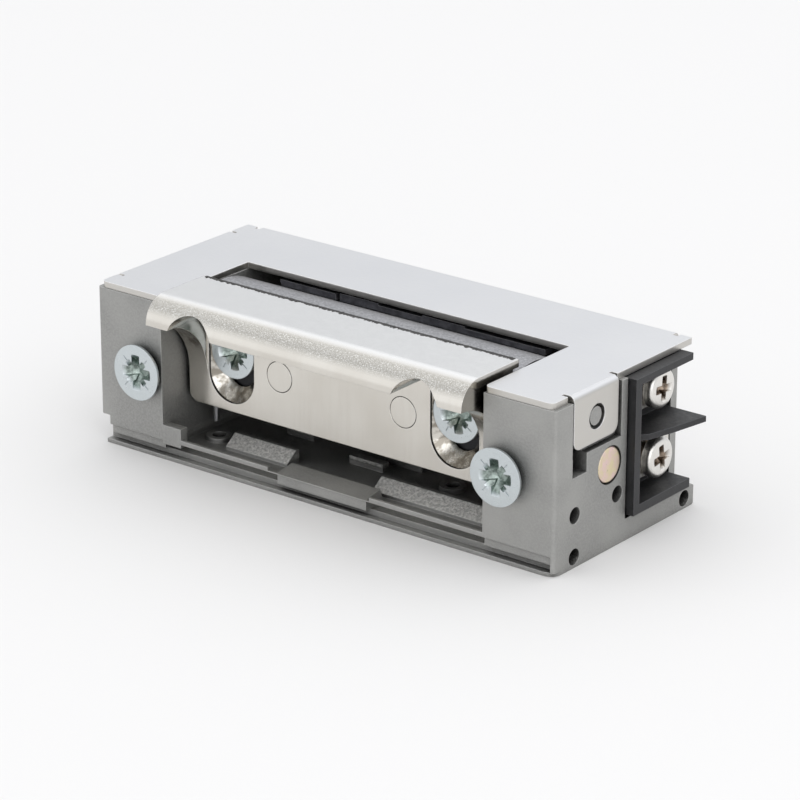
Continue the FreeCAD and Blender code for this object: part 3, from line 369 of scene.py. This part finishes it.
def drawn_steel(name, colour_low, colour_high, rough_low):
    """Plain bright steel with a fine drawn grain."""
    material, tree, shader = start_material(name)
    rounded = soft_edges(tree, 0.06 * MM)
    grain = noise(tree, 0.15 * MM, 3, 0.6, (1, 1, 6))
    colour = blend_colour(tree, remap(tree, grain, 0.3, 0.7), colour_low, colour_high)
    rough = remap(tree, grain, 0.3, 0.7, rough_low, rough_low + 0.15)
    normal = bumped(tree, grain, 0.004 * MM, rounded)
    set_shader(tree, shader, Base_Color=colour, Metallic=1.0, Roughness=rough, Normal=normal)
    return material


# ---- black parts, plastics and copper -----------------------------------------------
def black_carrier():
    """Coated casting: black, with a painted sheen of grained, flecked bright grey where it faces up, paler
    rounded edges and painted shade in hollows.
    """
    material, tree, shader = start_material("black_carrier")
    rounded = soft_edges(tree, 0.15 * MM)
    edges = edge_mask(tree, rounded)
    grain = noise(tree, 0.26 * MM, 4, 0.65)
    colour = blend_colour(tree, remap(tree, grain, 0.35, 0.65), (0.20, 0.20, 0.212), (0.46, 0.46, 0.475))
    sheen_flecks = remap(tree, noise(tree, 0.14 * MM, 1), 0.68, 0.76)
    colour = blend_colour(tree, sheen_flecks, colour, (0.62, 0.62, 0.64))
    # painted sheen: only faces turned up keep the grained grey; the rest is painted black
    upward = remap(tree, axis_of(tree, facing(tree), "Z"), 0.55, 0.95, 0.04, 1.0)
    colour = blend_colour(tree, upward, (0.018, 0.018, 0.020), colour)
    colour = blend_colour(tree, maths(tree, "MULTIPLY", edges, 0.3), colour, (0.56, 0.56, 0.58))
    # painted shade: hollows darkened towards black
    shade = remap(tree, crevices(tree, 5 * MM), 0.10, 0.50, 0.05, 1.0)
    colour = blend_colour(tree, shade, (0.012, 0.012, 0.014), colour)
    rough = remap(tree, grain, 0.3, 0.7, 0.30, 0.44)
    normal = bumped(tree, grain, 0.030 * MM, rounded)
    set_shader(tree, shader, Base_Color=colour, Metallic=0.9, Roughness=rough, Normal=normal)
    return material


def black_plastic(name, shade, rough_low, sheen_size, edge_highlight, open_low):
    """Moulded black plastic: a slightly mottled surface, painted highlights on its edges and painted shade in
    its hollows.
    """
    material, tree, shader = start_material(name)
    rounded = soft_edges(tree, 0.14 * MM)
    edges = edge_mask(tree, rounded)
    mottle = noise(tree, sheen_size, 3, 0.6)
    low = (shade, shade, shade * 1.12)
    high = tuple(part * 1.9 for part in low)
    colour = blend_colour(tree, remap(tree, mottle, 0.35, 0.65), low, high)
    # painted highlight: paler colour on the rounded edges
    colour = blend_colour(tree, maths(tree, "MULTIPLY", edges, edge_highlight), colour, (0.30, 0.30, 0.315))
    # painted shade: hollows and corners darkened towards black
    unshaded = remap(tree, crevices(tree, 4 * MM), open_low, open_low + 0.45, 0.10, 1.0)
    colour = blend_colour(tree, unshaded, (0.003, 0.003, 0.0035), colour)
    rough = remap(tree, mottle, 0.3, 0.7, rough_low, rough_low + 0.18)
    normal = bumped(tree, noise(tree, sheen_size * 0.4, 3), 0.012 * MM, rounded)
    set_shader(tree, shader, Base_Color=colour, Roughness=rough, Normal=normal)
    return material


def natural_nylon():
    """Off-white nylon with a waxy sheen."""
    material, tree, shader = start_material("bobbin_plastic")
    rounded = soft_edges(tree, 0.12 * MM)
    mottle = noise(tree, 1.5 * MM, 3)
    colour = blend_colour(tree, mottle, (0.66, 0.64, 0.56), (0.74, 0.72, 0.65))
    rough = remap(tree, mottle, 0.3, 0.7, 0.38, 0.50)
    normal = bumped(tree, mottle, 0.01 * MM, rounded)
    set_shader(tree, shader, Base_Color=colour, Roughness=rough, Normal=normal)
    return material


def enamelled_copper():
    """Copper wire under clear enamel, its colour changing a little along and across the coil."""
    material, tree, shader = start_material("copper_wire")
    turns = noise(tree, 0.6 * MM, 2, 0.5, (6, 6, 1))
    colour = blend_colour(tree, remap(tree, turns, 0.35, 0.65), (0.56, 0.20, 0.075), (0.74, 0.32, 0.13))
    rough = remap(tree, turns, 0.3, 0.7, 0.22, 0.34)
    set_shader(tree, shader, Base_Color=colour, Metallic=1.0, Roughness=rough)
    shader.inputs["Coat Weight"].default_value = 0.5
    return material


def wire_insulation():
    """Soft dark red plastic insulation."""
    material, tree, shader = start_material("wire_insulation")
    mottle = noise(tree, 0.8 * MM, 3)
    colour = blend_colour(tree, mottle, (0.34, 0.025, 0.02), (0.50, 0.05, 0.04))
    rough = remap(tree, mottle, 0.3, 0.7, 0.30, 0.45)
    normal = bumped(tree, mottle, 0.01 * MM, add(tree, "NewGeometry").outputs["Normal"])
    set_shader(tree, shader, Base_Color=colour, Roughness=rough, Normal=normal)
    return material


# ---- places read from the frame -----------------------------------------------------
def centre_of(node):
    """The middle of a node's box."""
    low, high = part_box(node)
    return (low + high) / 2


def pair_centres(node):
    """(x, z) of the two equal screws of one node, one at each end."""
    low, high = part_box(node)
    half = (high.z - low.z) / 2
    return [(low.x + half, centre_of(node).z), (high.x - half, centre_of(node).z)]


def dress(node, material):
    """Give a CAD node its material."""
    slots = nodes[node].data.materials
    slots.clear()
    slots.append(material)


def dress_everything():
    """Give every CAD node its material, and return the copper that the windings share."""
    recess_reach = 2.1 * MM
    terminal_reach = 1.7 * MM
    blue_zinc = (0.60, 0.645, 0.66)
    # the two dark colours below are painted shade for the screw recesses
    green_recess_shade = (0.17, 0.20, 0.185)
    bright = (0.80, 0.78, 0.745)
    brown_recess_shade = (0.12, 0.095, 0.075)
    nickel = nickel_plate()
    spring = drawn_steel("spring_steel", (0.36, 0.36, 0.37), (0.50, 0.50, 0.51), 0.30)
    iron = drawn_steel("soft_iron", (0.30, 0.30, 0.31), (0.42, 0.42, 0.43), 0.36)
    contact = drawn_steel("nickel_contacts", (0.62, 0.60, 0.56), (0.74, 0.72, 0.68), 0.22)
    dress("housing", cast_zinc())
    dress("top_cover", stainless_sheet())
    dress("latch_bracket", nickel)
    dress("guide_pins", nickel)
    dress("keeper_carrier", black_carrier())
    dress("magnet_frame", black_plastic("frame_plastic", 0.075, 0.08, 1.2 * MM, 1.6, 0.0))
    dress("terminal_block", black_plastic("block_plastic", 0.010, 0.38, 0.6 * MM, 0.30, 0.25))
    dress("keeper_pins", passivated_pin())
    for node in ("faceplate_screws", "clamp_screws"):
        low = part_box(node)[0]
        dress(node, screw_zinc(node + "_zinc", blue_zinc, green_recess_shade, pair_centres(node),
                               recess_reach, "Y", low.y, 1))
    dress("yoke_screws", drawn_steel("yoke_zinc", (0.55, 0.58, 0.60), (0.66, 0.69, 0.72), 0.28))
    for node in ("terminal_screw_lower", "terminal_screw_upper"):
        middle = centre_of(node)
        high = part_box(node)[1]
        dress(node, screw_zinc(node + "_nickel", bright, brown_recess_shade, [(middle.y, middle.z)],
                               terminal_reach, "X", high.x, -1))
    for node in ("return_spring_right", "return_spring_left", "armature_spring", "armature_pin"):
        dress(node, spring)
    for node in ("armature", "coil_core", "coil_yoke"):
        dress(node, iron)
    dress("contact_plates", contact)
    dress("coil_bobbin", natural_nylon())
    copper = enamelled_copper()
    dress("coil_winding", copper)
    dress("lead_wires", wire_insulation())
    return copper


# ---- pieces built here --------------------------------------------------------------
def mesh_piece(name, points, faces, material, body):
    """A new mesh that rides on a body."""
    mesh = bpy.data.meshes.new(name)
    mesh.from_pydata(points, [], faces)
    mesh.validate()
    mesh.materials.append(material)
    piece = bpy.data.objects.new(name, mesh)
    bpy.context.scene.collection.objects.link(piece)
    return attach(piece, body)


def torn_edge_material():
    """The bare, dark sheared metal of the latch bracket's back edge."""
    material, tree, shader = start_material("torn_edge")
    grain = noise(tree, 0.12 * MM, 3, 0.7)
    colour = blend_colour(tree, remap(tree, grain, 0.35, 0.65), (0.010, 0.010, 0.009), (0.09, 0.086, 0.082))
    rough = remap(tree, grain, 0.3, 0.7, 0.60, 0.80)
    set_shader(tree, shader, Base_Color=colour, Metallic=0.3, Roughness=rough)
    return material


def build_torn_edge():
    """The rough sheared burr along the back edge of the latch bracket's top flange."""
    low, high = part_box("latch_bracket")
    draw = random.Random(7)
    step = 0.16 * MM
    margin = 0.3 * MM
    drop = 0.75 * MM                    # how far the burr hangs down the edge
    proud = 0.014 * MM                  # how far its flat strip stands above the flange
    overhang = (0.05, 0.26)             # mm past the flange's back edge
    strip_width = (0.34, 0.74)          # mm in front of that edge
    sag = (0.03, 0.12)                  # mm below the flange's top
    uneven_step = (0.6, 1.4)
    rows = []
    x = low.x + margin
    while x < high.x - margin:
        reach = high.y + draw.uniform(*overhang) * MM
        front = high.y - draw.uniform(*strip_width) * MM
        rows.append([(x, front, high.z + proud), (x, high.y, high.z + proud),
                     (x, reach, high.z - draw.uniform(*sag) * MM),
                     (x, reach - 0.03 * MM, high.z - drop), (x, high.y - 0.02 * MM, high.z - drop)])
        x += step * draw.uniform(*uneven_step)
    points = [point for row in rows for point in row]
    count = len(rows[0])
    faces = []
    for index in range(len(rows) - 1):
        first = index * count
        for corner in range(count):
            after = (corner + 1) % count
            faces.append((first + corner, first + count + corner, first + count + after, first + after))
    faces.append(tuple(range(count)))
    last = (len(rows) - 1) * count
    faces.append(tuple(reversed(range(last, last + count))))
    return mesh_piece("flange_burr", points, faces, torn_edge_material(), "bracket")


def coil_outline(half_x, half_y, corner, steps):
    """Points round a rectangle with rounded corners, centred on the origin."""
    points = []
    for quarter in range(4):
        turn = quarter * math.pi / 2
        sign_x = 1 if quarter in (0, 3) else -1
        sign_y = 1 if quarter in (0, 1) else -1
        for step in range(steps + 1):
            angle = turn + step * math.pi / 2 / steps
            points.append((sign_x * (half_x - corner) + corner * math.cos(angle),
                           sign_y * (half_y - corner) + corner * math.sin(angle)))
    return points


def build_windings(material):
    """The coil's outer layer, wound turn by turn round the former."""
    low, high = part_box("coil_winding")
    middle = (low + high) / 2
    wire_radius = 0.11 * MM
    pitch = 2.02 * wire_radius          # neighbouring turns all but touch
    corner = 1.5 * MM
    corner_steps = 5
    half_x = (high.x - low.x) / 2 - wire_radius
    half_y = (high.y - low.y) / 2 - wire_radius
    outline = coil_outline(half_x, half_y, corner, corner_steps)
    turns = int((high.z - low.z - 2 * wire_radius) / pitch)
    curve = bpy.data.curves.new("winding", "CURVE")
    curve.dimensions = "3D"
    curve.bevel_depth = wire_radius
    curve.bevel_resolution = 2
    curve.use_fill_caps = True
    spline = curve.splines.new("POLY")
    spline.points.add(turns * len(outline) - 1)
    for index in range(turns * len(outline)):
        x, y = outline[index % len(outline)]
        z = low.z + wire_radius + pitch * index / len(outline)
        spline.points[index].co = (middle.x + x, middle.y + y, z, 1.0)
    curve.materials.append(material)
    winding = bpy.data.objects.new("winding_turns", curve)
    bpy.context.scene.collection.objects.link(winding)
    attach(winding, "strike_body")
    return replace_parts(winding, "coil_winding")


# ---- stage, light and camera --------------------------------------------------------
def build_floor():
    """A plain pale floor."""
    material, tree, shader = start_material("floor_paint")
    set_shader(tree, shader, Base_Color=(0.84, 0.83, 0.82), Roughness=0.9)
    half = 1.6
    clearance = 0.02 * MM
    level = cad_box[0][2] - clearance
    corners = [(-half, -half, level), (half, -half, level), (half, half, level), (-half, half, level)]
    mesh = bpy.data.meshes.new("floor")
    mesh.from_pydata(corners, [], [(0, 1, 2, 3)])
    mesh.materials.append(material)
    floor = bpy.data.objects.new("floor", mesh)
    bpy.context.scene.collection.objects.link(floor)


def area_light(name, place, target, size, power):
    """A rectangular softbox aimed at a point."""
    lamp = bpy.data.lights.new(name, "AREA")
    lamp.shape = "RECTANGLE"
    lamp.size, lamp.size_y = size
    lamp.energy = power
    holder = bpy.data.objects.new(name, lamp)
    holder.location = place
    holder.rotation_euler = (target - Vector(place)).to_track_quat("-Z", "Y").to_euler()
    bpy.context.scene.collection.objects.link(holder)


# name, place in metres, width and height in metres, power in watts
SOFTBOXES = (
    ("overhead", (0.05, 0.15, 0.60), (1.6, 1.4), 2.9),
    ("front_right", (0.55, -0.45, 0.30), (0.6, 0.6), 1.1),
    ("front_left", (-0.45, -0.50, 0.25), (0.7, 0.6), 0.5),
)
SKY_COLOUR = (0.96, 0.975, 1.0, 1.0)
SKY_STRENGTH = 0.84


def build_light(middle):
    """Soft studio light: a wide overhead box, a front-right box, a weaker left one and a pale sky."""
    for name, place, size, power in SOFTBOXES:
        area_light(name, place, middle, size, power)
    world = bpy.data.worlds.new("studio")
    world.use_nodes = True
    background = world.node_tree.nodes["Background"]
    background.inputs["Color"].default_value = SKY_COLOUR
    background.inputs["Strength"].default_value = SKY_STRENGTH
    bpy.context.scene.world = world


def build_camera():
    """The camera, long-lensed and turned to the strike. Returns the point that it looks at."""
    azimuth = math.radians(38.3)
    elevation = math.radians(21.055)
    distance = 431.9 * MM
    target = Vector((-0.45 * MM, -1.4 * MM, 9.0 * MM))
    toward = Vector((math.cos(elevation) * math.sin(azimuth), -math.cos(elevation) * math.cos(azimuth),
                     math.sin(elevation)))
    lens = bpy.data.cameras.new("camera")
    lens.lens = 164.9
    lens.sensor_width = 36.0
    lens.shift_x = 0.0228
    lens.shift_y = 0.0032
    lens.clip_start = 0.01
    lens.clip_end = 20.0
    camera = bpy.data.objects.new("camera", lens)
    camera.location = target + toward * distance
    camera.rotation_euler = (-toward).to_track_quat("-Z", "Y").to_euler()
    bpy.context.scene.collection.objects.link(camera)
    bpy.context.scene.camera = camera
    return target


bpy.context.scene.view_settings.view_transform = "Standard"
build_light(build_camera())
build_floor()
build_windings(dress_everything())
build_torn_edge()
